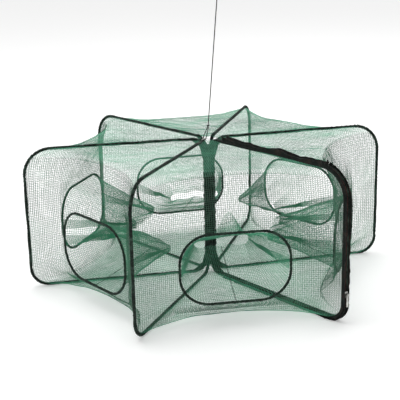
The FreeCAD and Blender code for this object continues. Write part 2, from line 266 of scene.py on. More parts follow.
class Build:
    """Collects quads into one mesh."""

    def __init__(self):
        self.verts, self.faces, self.count = [], [], 0

    def add(self, verts, faces):
        self.verts.append(np.asarray(verts, float))
        self.faces.append(np.asarray(faces, int) + self.count)
        self.count += len(verts)

    def tube(self, path, radius, sides, guide, closed=False, section=None):
        """A tube of straight segments along path. Guide is a vector, or one per point. A section,
        pairs across and along the guide, takes the place of the circle."""
        path = np.asarray(path, float)
        n = len(path)
        if closed:
            along = np.roll(path, -1, 0) - np.roll(path, 1, 0)
        else:
            along = np.gradient(path, axis=0)
        along = unit(along)
        side = unit(np.cross(along, np.broadcast_to(np.asarray(guide, float), (n, 3))))
        up = np.cross(side, along)
        if section is None:
            turn = np.arange(sides) * 2 * math.pi / sides + math.pi / 2
            section = np.stack([np.cos(turn), np.sin(turn)], axis=1)
        else:
            radius, sides = 1.0, len(section)
        radius = np.asarray(radius, float)
        if radius.ndim < 2:
            radius = np.broadcast_to(radius, (n,))[:, None]
        verts = (
            path[:, None, :]
            + (radius * section[:, 0])[:, :, None] * side[:, None, :]
            + (radius * section[:, 1])[:, :, None] * up[:, None, :]
        ).reshape(-1, 3)
        rows = n if closed else n - 1
        i = np.arange(rows)[:, None] * sides
        j = (np.arange(rows)[:, None] + 1) % n * sides
        k = np.arange(sides)[None, :]
        k2 = (k + 1) % sides
        faces = np.stack([i + k, i + k2, j + k2, j + k], axis=2).reshape(-1, 4)
        self.add(verts, faces)

    def object(self, name, material, smooth=True):
        """The pieces as one object, pressed flat where it rests on the ground."""
        verts = np.concatenate(self.verts)
        verts[:, 2] = np.maximum(verts[:, 2], GROUND_Z)
        return mesh_object(name, verts, np.concatenate(self.faces), material, smooth)


def lengths(path):
    """How far along a polyline each of its points is."""
    return np.concatenate([[0], np.cumsum(np.linalg.norm(np.diff(path, axis=0), axis=1))])


def pick(rows, along, at):
    """Rows given at the lengths along, interpolated at the lengths at."""
    return np.stack([np.interp(at, along, rows[:, k]) for k in range(rows.shape[1])], axis=1)


def even(path, count):
    """The same polyline with count evenly spaced points."""
    along = lengths(path)
    return pick(path, along, np.linspace(0, along[-1], count))


def resample(path, step):
    """The same polyline with points about step apart."""
    return even(path, max(2, int(math.ceil(lengths(path)[-1] / step)) + 1))


def grid_area(grid):
    """The area of a grid of points."""
    one = np.cross(grid[1:, :-1] - grid[:-1, :-1], grid[:-1, 1:] - grid[:-1, :-1])
    two = np.cross(grid[1:, :-1] - grid[1:, 1:], grid[:-1, 1:] - grid[1:, 1:])
    return float(np.linalg.norm(one, axis=2).sum() + np.linalg.norm(two, axis=2).sum()) / 2


def wobble(points, size, seed=0):
    """A smooth value in -1..1 at each point, from a few sine waves about size metres long."""
    rng = np.random.default_rng(seed)
    total = np.zeros(len(points))
    for _ in range(5):
        way = rng.normal(size=3)
        way /= np.linalg.norm(way)
        total += np.sin(points @ way * (2 * math.pi / size / rng.uniform(0.7, 1.5)) + rng.uniform(0, 6.28))
    return total / 3.0


# ---------------------------------------------------------------- where things are


def loop_geometry(name):
    low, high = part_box(f"frame_wire_{name}")
    x = [low.x + WIRE_R, high.x - WIRE_R]
    y = [low.y + WIRE_R, high.y - WIRE_R]
    inner = np.array([min(x, key=lambda v: abs(v - HUB[0])), min(y, key=lambda v: abs(v - HUB[1]))])
    outer = np.array([max(x, key=lambda v: abs(v - HUB[0])), max(y, key=lambda v: abs(v - HUB[1]))])
    return inner, outer, low.z + WIRE_R, high.z - WIRE_R


LOOP = [loop_geometry(name) for name in LOOPS]
Z0, Z1 = LOOP[0][2], LOOP[0][3]
REACH = float(np.linalg.norm(LOOP[1][1] - LOOP[1][0]))
JOINTS = {j["name"]: j for j in frame["joints"]}


def along_loop(index):
    inner, outer = LOOP[index][:2]
    return (outer - inner) / np.linalg.norm(outer - inner)


class Sector:
    """A sector's own frame: X from the apex outwards along the middle, Y counter-clockwise."""

    def __init__(self, pair):
        self.pair, self.name = pair, SECTORS[pair]
        self.wires = [f"frame_wire_{LOOPS[pair]}", f"frame_wire_{LOOPS[pair + 1]}"]
        a, b = along_loop(pair), along_loop(pair + 1)
        start_a, start_b = LOOP[pair][0], LOOP[pair + 1][0]
        s = np.linalg.solve(np.stack([a, -b], axis=1), start_b - start_a)
        self.apex = start_a + a * s[0]
        self.half = math.acos(float(a @ b)) / 2
        middle = (a + b) / np.linalg.norm(a + b)
        self.out = np.array([*middle, 0.0])
        self.aside = np.array([-middle[1], middle[0], 0.0])
        self.offset = float(np.linalg.norm(start_a - self.apex))
        self.side = self.offset + REACH
        low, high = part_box(f"ring_wire_{self.name}")
        self.ring = np.array((low + high) / 2)
        self.ring_x = float((self.ring[:2] - self.apex) @ middle)
        self.ring_h = (high.z - low.z) / 2 - RING_WIRE_R
        self.ring_w = RING_HALF_WIDTH
        self.near = pair if pair >= ROOT else pair + 1
        self.far = pair + 1 if pair >= ROOT else pair

    def world(self, xyz):
        xyz = np.asarray(xyz, float)
        base = np.array([*self.apex, 0.0])
        return base + xyz[:, :1] * self.out + xyz[:, 1:2] * self.aside + xyz[:, 2:3] * np.array([0, 0, 1.0])


SECTOR = [Sector(pair) for pair in range(len(SECTORS))]


def loop_body(index):
    return "loop_" + LOOPS[index]


# ---------------------------------------------------------------- camera

CAMERA_PLACE = Vector((-0.52330, -1.97078, 0.78709))
CAMERA_AZIMUTH, CAMERA_DOWN, CAMERA_ROLL = 14.2188, 16.8622, -1.2823
CAMERA_LENS = 86.66


def make_camera():
    az, el, roll = (math.radians(v) for v in (CAMERA_AZIMUTH, CAMERA_DOWN, CAMERA_ROLL))
    ahead = Vector((math.sin(az) * math.cos(el), math.cos(az) * math.cos(el), -math.sin(el)))
    right = Vector((math.cos(az), -math.sin(az), 0.0))
    up = right.cross(ahead)
    x = right * math.cos(roll) + up * math.sin(roll)
    y = up * math.cos(roll) - right * math.sin(roll)
    data = bpy.data.cameras.new("camera")
    data.lens = CAMERA_LENS
    data.sensor_width = 36.0
    camera = bpy.data.objects.new("camera", data)
    bpy.context.scene.collection.objects.link(camera)
    turn = Matrix((x, y, -ahead)).transposed().to_4x4()
    camera.matrix_world = Matrix.Translation(CAMERA_PLACE) @ turn
    bpy.context.scene.camera = camera


make_camera()


# ---------------------------------------------------------------- nets


def rounded_quarter(centre, radius_x, radius_z, start, count):
    """Points on a quarter turn, clockwise in x z from start degrees."""
    a = np.radians(start - np.linspace(0, 90, count))
    return np.stack([centre[0] + radius_x * np.cos(a), centre[1] + radius_z * np.sin(a)], axis=1)


def outline_parts(x_in, x_top, x_wall, x_low, z_low, z_high, r_top, r_low, scale=1.0, ring=None):
    """The C-shaped section as three polylines, top, wall and bottom, parted at the middles of its
    corners. With a ring, the wall goes in to x_wall over the ring's low and high z."""
    top_arc = rounded_quarter((x_top - r_top * scale, z_high - r_top), r_top * scale, r_top, 90, 17)
    low_arc = rounded_quarter((x_low - r_low * scale, z_low + r_low), r_low * scale, r_low, 0, 17)
    z_wall = np.linspace(z_high - r_top, z_low + r_low, 60)
    if ring is None:
        x = np.interp(z_wall, [z_low + r_low, z_high - r_top], [x_low, x_top])
    else:
        low_z, high_z = ring
        share = (z_wall - high_z) / (z_high - r_top - high_z)
        share = np.where(z_wall > high_z, share, (low_z - z_wall) / max(low_z - z_low - r_low, 1e-6))
        share = np.clip(share, 0, 1)
        ends = np.where(z_wall > high_z, x_top, x_low)
        x = x_wall + (ends - x_wall) * share**1.3
    wall = np.stack([x, z_wall], axis=1)
    top = np.concatenate([[[x_in, z_high]], top_arc[:9]])
    side = np.concatenate([top_arc[8:], wall[1:-1], low_arc[:9]])
    bottom = np.concatenate([low_arc[8:], [[x_in, z_low]]])
    return top, side, bottom


class Shape:
    """The stretched net of one sector as a surface over (row, t): rows run round the section from
    the top of the spine to its foot, and t runs from loop a (-1) to loop b (1)."""

    def __init__(self, sector):
        s = self.sector = sector
        cos, self.sin = math.cos(s.half), math.sin(s.half)
        x_in = (s.offset + SPINE_BEND_R * 0.5) * cos
        far = s.side * cos
        top_l, side_l, low_l = outline_parts(x_in, far, far, far, Z0, Z1, TOP_BEND_R, BOTTOM_BEND_R, cos)
        ring = (s.ring[2] - s.ring_h, s.ring[2] + s.ring_h)
        x_rim = far - RIM_BOW
        low, high = Z0 + 0.001, Z1 - 0.003
        rim = outline_parts(x_in, x_rim, s.ring_x, x_rim, low, high, RIM_R, RIM_R * 0.8, ring=ring)
        top_m, side_m, low_m = rim
        self.parts = []
        for loop_line, mid_line in ((top_l, top_m), (side_l, side_m), (low_l, low_m)):
            length = np.linalg.norm(np.diff(mid_line, axis=0), axis=1).sum()
            length = max(length, np.linalg.norm(np.diff(loop_line, axis=0), axis=1).sum() * 0.97)
            rows = int(round(length / MESH_PITCH))
            fine = rows * 3 + 1
            self.parts.append((even(loop_line, fine), even(mid_line, fine), rows))

    def points(self, part, row, t):
        """Local x, y, z at fine rows and t, arrays of the same length."""
        loop_line, mid_line, _ = self.parts[part]
        index = np.arange(len(loop_line))
        lx, lz = np.interp(row, index, loop_line[:, 0]), np.interp(row, index, loop_line[:, 1])
        mx, mz = np.interp(row, index, mid_line[:, 0]), np.interp(row, index, mid_line[:, 1])
        s = self.sector
        cos = math.cos(s.half)
        y = t * lx / cos * self.sin
        width = s.side * self.sin
        flat = np.clip((1 - np.abs(t)) / (1 - (s.ring_w + 0.008) / width), 0, 1)
        free = 1 - np.abs(t) ** 2.4
        if part == 1:
            beside = np.clip((np.abs(mz - s.ring[2]) - s.ring_h - 0.004) / 0.055, 0, 1)
            held = 1 - beside * beside * (3 - 2 * beside)
            share = free + (flat - free) * held
        else:
            share = free
        x = lx + (mx - lx) * share
        z = lz + (mz - lz) * share
        if part != 1:
            depth = np.clip((lx / cos - 0.03) / 0.3, 0, 1)
            sag = (1 - t * t) * depth * (0.004 if part == 0 else -0.0015)
            z = z - sag
        out = np.stack([x, y, z], axis=1)
        ripple = wobble(out, 0.09, 5 + s.pair) * 0.0016 + wobble(out, 0.028, 17 + s.pair) * 0.0005
        ripple *= np.clip((1 - np.abs(t)) * 6, 0, 1)
        if part == 1:
            hold = np.clip(self.ring_gap(out) / 0.02, 0, 1)
            out[:, 0] += ripple * hold
        else:
            out[:, 2] += np.where(out[:, 2] > 0.1, ripple, np.abs(ripple))
        return out

    def ring_gap(self, local):
        """Distance outside the ring's outline, in the ring's plane. Negative inside."""
        s = self.sector
        qx = np.abs(local[:, 1]) - (s.ring_w - RING_BEND_R)
        qz = np.abs(local[:, 2] - s.ring[2]) - (s.ring_h - RING_BEND_R)
        outside = np.hypot(np.maximum(qx, 0), np.maximum(qz, 0))
        return outside + np.minimum(np.maximum(qx, qz), 0) - RING_BEND_R


def runs(keep):
    """The (start, stop) of each run of True."""
    edges = np.flatnonzero(np.diff(np.concatenate([[0], keep.astype(int), [0]])))
    return list(zip(edges[::2], edges[1::2]))


def net_threads(shape, part, low_y=-1.0, high_y=1.0):
    """Local polylines of one net's threads between two y limits."""
    s = shape.sector
    loop_line, _, rows = shape.parts[part]
    cos = math.cos(s.half)
    lines = []
    fine = 3
    for row in range(rows + 1):
        if part == 1 and row in (0, rows):
            continue
        radius = loop_line[min(row * fine, len(loop_line) - 1), 0] / cos
        half_width = radius * shape.sin
        edge = max(0.0, 1 - 0.0018 / max(half_width, 1e-6))
        count = max(3, int(half_width * 2 / 0.002) + 1)
        t = np.linspace(-edge, edge, count)
        points = shape.points(part, np.full(count, row * fine, float), t)
        lines.append(points)
    widest = s.side * shape.sin
    columns = int(widest / MESH_PITCH)
    index = np.arange(0, len(loop_line), 0.5)
    half_at = np.interp(index, np.arange(len(loop_line)), loop_line[:, 0]) / cos * shape.sin
    for column in range(-columns, columns + 1):
        y = column * MESH_PITCH
        t = y / half_at
        ok = np.abs(t) < 1 - 0.0018 / half_at
        for a, b in runs(ok):
            if b - a > 3:
                lines.append(shape.points(part, index[a:b], t[a:b]))
    cut = []
    for line in lines:
        keep = (line[:, 1] >= low_y) & (line[:, 1] <= high_y)
        if part == 1:
            keep &= shape.ring_gap(line) > 0.0012
        for a, b in runs(keep):
            if b - a > 2:
                cut.append(line[a:b])
    return cut


def threads_object(name, lines, guide, material, section, step=0.0072):
    build = Build()
    for line in lines:
        build.tube(resample(line, step), 1.0, 3, guide, section=section)
    return build.object(name, material)


def set_blend(obj):
    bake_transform(obj)


def coordinates(obj):
    co = np.zeros(len(obj.data.vertices) * 3, np.float32)
    obj.data.vertices.foreach_get("co", co)
    return co.reshape(-1, 3).astype(float)


def fold_blend(obj, sector):
    """Finds how far each point lies from the page hinge, then bakes the piece's placement into its mesh."""
    joint = JOINTS[f"fold_{sector.name}"]
    away = coordinates(obj)[:, :2] - np.array(joint["pos_m"][:2])
    set_blend(obj)


def swing_blend(obj, sector):
    """Finds each point's angle about the entrance hinge, then bakes the piece's placement into its mesh."""
    joint = JOINTS[f"swing_{sector.name}"]
    away = coordinates(obj)[:, :2] - np.array(joint["pos_m"][:2])
    inwards = -along_loop(sector.near)
    ring_way = -sector.aside[:2] if sector.near > sector.pair else sector.aside[:2]
    swing = math.atan2(inwards[0] * ring_way[1] - inwards[1] * ring_way[0], float(inwards @ ring_way))
    angle = np.arctan2(inwards[0] * away[:, 1] - inwards[1] * away[:, 0], away @ inwards)
    angle = angle * np.sign(swing)
    set_blend(obj)


def dress(obj, body, replaces=None):
    """Hides the node a piece replaces and hangs the piece on the body it rides on."""
    if replaces:
        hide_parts(replaces)
    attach(obj, body)


def net_area(shape, part):
    """Area of one net in square metres, summed over its modelled surface."""
    _, _, rows = shape.parts[part]
    t = np.linspace(-1, 1, 41)
    grid = np.array([shape.points(part, np.full(41, r, float), t) for r in np.linspace(0, rows * 3, 40)])
    return grid_area(grid)


def make_flat_net(shape, part):
    s = shape.sector
    word = "top" if part == 0 else "bottom"
    lines = [s.world(line) for line in net_threads(shape, part)]
    # The flat nets take the net copy painted lighter, as painted light from above.
    obj = threads_object(f"{word}_mesh_{s.name}", lines, (0, 0, 1), LIT_FLAT_NET, FLAT_YARN)
    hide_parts(f"{word}_net_{s.name}")
    fold_blend(obj, s)
    area = net_area(shape, part)


def make_side_net(shape):
    s = shape.sector
    split = (s.ring_w + 0.010) * (1 if s.far > s.near else -1)
    limits = {"panel": (-1.0, split), "edge": (split, 1.0)}
    if split < 0:
        limits = {"panel": (split, 1.0), "edge": (-1.0, split)}
    made = {}
    for word, (low, high) in limits.items():
        lines = [s.world(line) for line in net_threads(shape, 1, low, high)]
        # The upright walls take the net copy painted darker, as painted shade.
        made[word] = threads_object(f"side_mesh_{word}_{s.name}", lines, s.out, SHADED_SIDE_NET, DEEP_YARN)
    panel, edge = made["panel"], made["edge"]
    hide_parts(f"side_net_{s.name}")
    swing_blend(panel, s)
    fold_blend(edge, s)
    area = net_area(shape, 1)


def rounded_loop(half_w, half_h, radius, share):
    """Points round a rounded rectangle. Share 0..1 counts quarter by quarter, so that two
    rectangles' points match."""
    quarter = np.floor(share * 4).astype(int) % 4
    part = share * 4 - np.floor(share * 4)
    part = np.where(quarter % 2 == 1, 1 - part, part)
    side = np.clip(part / 0.25, 0, 1)
    arc = np.clip((part - 0.25) / 0.4, 0, 1) * math.pi / 2
    over = np.clip((part - 0.65) / 0.35, 0, 1)
    x = half_w - radius * (1 - np.cos(arc)) - (half_w - radius) * over
    z = (half_h - radius) * side + radius * np.sin(arc)
    x = np.where((quarter == 1) | (quarter == 2), -x, x)
    z = np.where(quarter >= 2, -z, z)
    return x, z


FUNNEL_DROOP = {
    "right_front": 0.006,
    "right_back": -0.004,
    "back": -0.014,
    "left_back": 0.004,
    "left_front": 0.012,
    "front": 0.0,
}
# How far each funnel's upper lip is drawn up into a peak, where along it, and its half width.
FUNNEL_PEAK = {
    "right_front": (0.012, 0.018, 0.026),
    "right_back": (0.008, -0.012, 0.03),
    "back": (0.004, 0.0, 0.03),
    "left_back": (0.006, 0.01, 0.03),
    "left_front": (0.008, -0.01, 0.03),
    "front": (0.055, 0.017, 0.026),
}


def funnel_points(sector, share, depth):
    """World points of the funnel at share round it and depth 0..1."""
    s = sector
    inset = RING_BINDING_R + 0.0004
    mx, mz = rounded_loop(s.ring_w - inset, s.ring_h - inset, RING_BEND_R - inset, share)
    sx, sz = rounded_loop(FUNNEL_SLIT[0], FUNNEL_SLIT[1], FUNNEL_SLIT[1] * 0.9, share)
    pull = depth + 0.16 * depth * (1 - depth)
    x, z = mx + (sx - mx) * pull, mz + (sz - mz) * pull
    z = z - FUNNEL_DROOP[s.name] * depth**1.5
    rise, where, spread = FUNNEL_PEAK[s.name]
    upper = np.clip(0.5 + z / 0.012, 0, 1)
    z = z + rise * np.exp(-(((x - where) / spread) ** 2)) * depth**2.5 * upper
    z = z + 0.0022 * np.sin(x * 150 + s.pair) * depth**4
    local = np.stack([s.ring_x - depth * (FUNNEL_LENGTH - 0.002), x, s.ring[2] + z], axis=1)
    slack = np.sin(math.pi * np.clip(depth, 0, 1)) * np.clip(depth * 8, 0, 1)
    ripple = wobble(local, 0.06, 41 + s.pair) * 0.0022 + wobble(local, 0.02, 53 + s.pair) * 0.0006
    local[:, 2] += ripple * slack
    return s.world(local)


def make_funnel(sector):
    s = sector
    around = 2 * math.pi * RING_BEND_R + 4 * (s.ring_w - RING_BEND_R) + 4 * (s.ring_h - RING_BEND_R)
    warps = int(around / MESH_PITCH)
    build = Build()
    depth = np.linspace(0, 1, 24)
    middle = s.world([[s.ring_x - 0.08, 0, s.ring[2]]])[0]
    for k in range(warps):
        share = np.full(24, (k + 0.5) / warps)
        path = funnel_points(s, share, depth)
        build.tube(path, 1.0, 3, path[0] - middle, section=DEEP_YARN)
    wefts = int(FUNNEL_SLANT / MESH_PITCH)
    share = np.linspace(0.0005, 0.9995, 110)
    for k in range(1, wefts + 1):
        path = resample(funnel_points(s, share, np.full(110, k / wefts)), 0.006)
        build.tube(path, 1.0, 3, path - middle, section=DEEP_YARN)
    # The funnels take the net copy painted part way darker, as part painted shade.
    obj = build.object(f"funnel_mesh_{s.name}", PART_SHADED_FUNNEL_NET)
    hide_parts(f"funnel_net_{s.name}")
    swing_blend(obj, s)


for sector in SECTOR:
    net_shape = Shape(sector)
    make_flat_net(net_shape, 0)
    make_flat_net(net_shape, 2)
    make_side_net(net_shape)
    make_funnel(sector)


# ---------------------------------------------------------------- sleeves and bindings


def loop_path(index, grow=0.0, step=0.003):
    """The loop's centre line grown outwards, as world points and their outward directions."""
    inner, _, z0, z1 = LOOP[index]
    way = along_loop(index)
    corners = [
        (0, z0, SPINE_BEND_R),
        (REACH, z0, BOTTOM_BEND_R),
        (REACH, z1, TOP_BEND_R),
        (0, z1, SPINE_BEND_R),
    ]
    points, normals = [], []
    for n, (cx, cz, r) in enumerate(corners):
        sign_x = 1 if cx > 0 else -1
        sign_z = 1 if cz > z0 else -1
        centre = (cx - sign_x * r, cz - sign_z * r)
        start = [180, 270, 0, 90][n]
        a = np.radians(start + np.linspace(0, 90, 14))
        normals += list(zip(np.cos(a), np.sin(a)))
        far = r + grow
        points += list(zip(centre[0] + far * np.cos(a), centre[1] + far * np.sin(a)))
    both = np.concatenate([points, normals], axis=1)
    both = resample(np.concatenate([both, both[:1]]), step)[:-1]
    p, n2 = both[:, :2], unit(both[:, 2:])
    world = np.concatenate([inner + p[:, :1] * way, p[:, 1:2]], axis=1)
    outward = np.concatenate([n2[:, :1] * way, n2[:, 1:2]], axis=1)
    return world, outward


def binding_tube(build, path, outward, radius, seed, lump=0.12, sides=14):
    """A sewn cloth tube whose radius wanders, gathered between stitches."""
    n = len(path)
    turn = np.arange(sides) * 2 * math.pi / sides
    rng = np.random.default_rng(seed)
    long_way = np.linspace(0, 2 * math.pi, n, endpoint=False)
    radii = np.ones((n, sides))
    for _ in range(26):
        cycles = rng.integers(20, 170)
        around = rng.integers(0, 4)
        phase = rng.uniform(0, 6.28)
        radii += lump / 5 * np.sin(cycles * long_way[:, None] + around * turn[None, :] + phase)
    radii = np.clip(radii, 0.82, 1.22)
    build.tube(path, radii * radius, sides, outward, closed=True)


def whip_stitch(build, path, outward, radius, yarn, pitch, seed, sides=5):
    """Yarn wound round the binding in a slightly uneven spiral."""
    closed = np.concatenate([path, path[:1]])
    length = np.linalg.norm(np.diff(closed, axis=0), axis=1).sum()
    turns = int(length / pitch)
    at = np.linspace(0, length, turns * 9, endpoint=False)
    rng = np.random.default_rng(seed)
    uneven = np.interp(at, np.linspace(0, length, turns // 3), rng.normal(0, pitch * 0.22, turns // 3))
    along, where = lengths(closed), np.mod(at + uneven, length)
    p = pick(closed, along, where)
    o = unit(pick(np.concatenate([outward, outward[:1]]), along, where))
    ahead = unit(np.roll(p, -1, 0) - np.roll(p, 1, 0))
    side = np.cross(ahead, o)
    phase = at / pitch * 2 * math.pi
    ring = o * np.cos(phase)[:, None] + side * np.sin(phase)[:, None]
    build.tube(p + ring * radius, yarn, sides, ahead, closed=True)


FIBRE_R = 0.00013


def fuzz(build, path, outward, radius, count, length, seed, floor=0.0005):
    """Short loose fibres standing off the cloth."""
    rng = np.random.default_rng(seed)
    at = rng.integers(0, len(path), count)
    ahead = unit((np.roll(path, -1, 0) - path)[at])
    out = outward[at]
    side = np.cross(ahead, out)
    angle = rng.uniform(0, 2 * math.pi, count)
    ring = out * np.cos(angle)[:, None] + side * np.sin(angle)[:, None]
    base = path[at] + ahead * rng.uniform(0, 0.003, (count, 1)) + ring * radius * 0.9
    lean = ring + ahead * rng.normal(0, 0.8, (count, 1)) + side * rng.normal(0, 0.3, (count, 1))
    lean = unit(lean)
    long = rng.uniform(0.4, 1.0, (count, 1)) * length
    tip = base + lean * long
    tip[:, 2] = np.maximum(tip[:, 2], floor)
    middle = (base + tip) / 2 + side * rng.normal(0, 0.12, (count, 1)) * long
    root_side = unit(np.cross(lean, ahead)) * FIBRE_R
    tip_side = root_side * 0.3
    corners = [
        base - root_side,
        base + root_side,
        middle + root_side,
        middle - root_side,
        tip + tip_side,
        tip - tip_side,
    ]
    verts = np.stack(corners, axis=1).reshape(-1, 3)
    k = np.arange(count)[:, None] * 6
    faces = np.concatenate([k + np.array([[0, 1, 2, 3]]), k + np.array([[3, 2, 4, 5]])], axis=0)
    build.add(verts, faces)


for index, name in enumerate(LOOPS):
    path, outward = loop_path(index)
    body = loop_body(index)
    build = Build()
    binding_tube(build, path, outward, SLEEVE_R * 1.03, 100 + index, lump=0.18)
    dress(build.object(f"sleeve_cloth_{name}", CLOTH), body, f"frame_sleeve_{name}")
    build = Build()
    whip_stitch(build, path, outward, SLEEVE_R, 0.0007, 0.011, 200 + index)
    dress(build.object(f"sleeve_stitching_{name}", STITCH), body)
    build = Build()
    fuzz(build, path, outward, SLEEVE_R, 4200, 0.0026, 300 + index)
    dress(build.object(f"sleeve_fuzz_{name}", CLOTH, smooth=False), body)


def ring_path(sector, step=0.003):
    s = sector
    share = np.linspace(0, 1, 400, endpoint=False)
    x, z = rounded_loop(s.ring_w, s.ring_h, RING_BEND_R, share)
    local = np.stack([np.full(400, s.ring_x), x, s.ring[2] + z], axis=1)
    closed = resample(np.concatenate([local, local[:1]]), step)[:-1]
    ahead = unit(np.roll(closed, -1, 0) - np.roll(closed, 1, 0))
    outward = np.cross(ahead, np.array([1.0, 0, 0]))
    outward *= np.sign(((closed - np.array([s.ring_x, 0, s.ring[2]])) * outward).sum(1))[:, None]
    return s.world(closed), outward[:, 1:2] * s.aside + outward[:, 2:3] * np.array([0, 0, 1.0])


for sector in SECTOR:
    path, outward = ring_path(sector)
    body = f"entrance_{sector.name}"
    build = Build()
    binding_tube(build, path, outward, RING_BINDING_R * 1.05, 400 + sector.pair, lump=0.2, sides=10)
    dress(build.object(f"ring_cloth_{sector.name}", RING_CLOTH), body, f"ring_binding_{sector.name}")
    build = Build()
    whip_stitch(build, path, outward, RING_BINDING_R, 0.00035, 0.0085, 500 + sector.pair)
    dress(build.object(f"ring_lacing_{sector.name}", LACE), body)


# ---------------------------------------------------------------- cloth at the spine


def loop_world(index, points):
    """World points from along-the-loop, across and height."""
    points = np.asarray(points, float)
    inner = LOOP[index][0]
    way = along_loop(index)
    across = np.array([-way[1], way[0]])
    plan = inner + points[:, :1] * way + points[:, 1:2] * across
    return np.concatenate([plan, points[:, 2:3]], axis=1)


def cloth_grid(build, grid, thickness, across):
    """A closed thin cloth from a grid of points, thickened along across."""
    rows, columns = grid.shape[:2]
    flat = grid.reshape(-1, 3)
    across = np.broadcast_to(across, flat.shape)
    verts = np.concatenate([flat + across * thickness / 2, flat - across * thickness / 2])
    i, j = np.meshgrid(np.arange(rows - 1), np.arange(columns - 1), indexing="ij")
    a = (i * columns + j).ravel()
    front = np.stack([a, a + 1, a + columns + 1, a + columns], axis=1)
    back = front[:, ::-1] + rows * columns
    rim = (
        list(range(columns))
        + [r * columns + columns - 1 for r in range(1, rows)]
        + [(rows - 1) * columns + c for c in range(columns - 2, -1, -1)]
        + [r * columns for r in range(rows - 2, 0, -1)]
    )
    rim = np.array(rim)
    following = np.roll(rim, -1)
    lower = rows * columns
    edge = np.stack([following, rim, rim + lower, following + lower], axis=1)
    build.add(verts, np.concatenate([front, back, edge]))


GUSSET_ALONG, GUSSET_DOWN = 0.026, 0.040


def make_gussets(index):
    """Dark patches sewn into a loop's two inner corners."""
    build = Build()
    way = along_loop(index)
    across = np.array([-way[1], way[0], 0.0])
    rng = np.random.default_rng(700 + index)
    area, longest, deepest = 0.0, 0.0, 0.0
    for upper in (True, False):
        along = GUSSET_ALONG * rng.uniform(0.85, 1.2)
        down = GUSSET_DOWN * rng.uniform(0.85, 1.25) * (1.0 if upper else 0.85)
        grid = np.zeros((15, 13, 3))
        for i, u in enumerate(np.linspace(0, 1, 15)):
            angle = u * math.pi / 2
            bend = np.array([SPINE_BEND_R * (1 - math.cos(angle)), SPINE_BEND_R * (1 - math.sin(angle))])
            grow = max(0.0, 1 - u * 2.2)
            rise = max(0.0, u * 2.2 - 1.2)
            outer = bend + np.array([(along - SPINE_BEND_R) * rise, (down - SPINE_BEND_R) * grow])
            chord = np.array([along * u, down * (1 - u)])
            inner = chord * (0.62 + 0.38 * abs(2 * u - 1) ** 1.5) + np.array([0.003, 0.003])
            for j, v in enumerate(np.linspace(0, 1, 13)):
                p = outer * (1 - v) + inner * v
                z = Z1 - p[1] if upper else Z0 + p[1]
                wave = 0.0009 * math.sin(9 * u + 7 * v + index) * v
                grid[i, j] = loop_world(index, [[p[0], wave, z]])[0]
        cloth_grid(build, grid, 0.0011, across)
        area += grid_area(grid)
        longest, deepest = max(longest, along), max(deepest, down)
    obj = build.object(f"spine_gussets_{LOOPS[index]}", CLOTH)
    dress(obj, loop_body(index))


def make_spine_tape(sector):
    """The cloth hinge between two neighbouring uprights."""
    s = sector
    a, b = LOOP[s.pair][0], LOOP[s.pair + 1][0]
    away = (a + b) / 2 - HUB
    away = away / max(np.linalg.norm(away), 1e-6)
    heights = np.linspace(Z0 + 0.016, Z1 - 0.016, 90)
    shares = np.linspace(-0.15, 1.15, 11)
    grid = np.zeros((len(heights), len(shares), 3))
    for j, share in enumerate(shares):
        plan = a + (b - a) * share
        bow = 0.0032 * (1 - (2 * share - 1) ** 2) + 0.0012
        for i, z in enumerate(heights):
            crumple = 0.0009 * math.sin(z * 260 + share * 5 + s.pair)
            crumple += 0.0006 * math.sin(z * 610 + s.pair * 2)
            grid[i, j] = [*(plan + away * (bow + crumple)), z]
    build = Build()
    cloth_grid(build, grid, 0.0008, np.array([*away, 0.0]))
    obj = build.object(f"spine_tape_{s.name}", CLOTH)
    fold_blend(obj, s)


for index in range(len(LOOPS)):
    make_gussets(index)
for sector in SECTOR:
    make_spine_tape(sector)


# ---------------------------------------------------------------- zip

ZIP_START = 0.042
COIL_OUT, COIL_ASIDE, COIL_R = 0.0022, 0.0030, 0.00075
TOOTH_PITCH = 0.0016
TAPE_R = 0.0032
# Sizes and cycles (radians a metre) of the waves along the tape's free edge.
PUCKER_WAVES = ((0.5, 190), (0.35, 330), (0.3, 95), (0.25, 520))
LIFT_WAVES = ((0.5, 150), (0.35, 280), (0.4, 60))


def zip_run(index, grow, step):
    """The zipped stretch of a loop: lower arm, outer upright and upper arm, in order."""
    path, outward = loop_path(index, grow, step)
    inner, way = LOOP[index][0], along_loop(index)
    along = (path[:, :2] - inner) @ way
    keep = along > ZIP_START
    start = np.flatnonzero(keep & ~np.roll(keep, 1))[0]
    order = [k for k in np.roll(np.arange(len(path)), -start) if keep[k]]
    return path[order], outward[order]


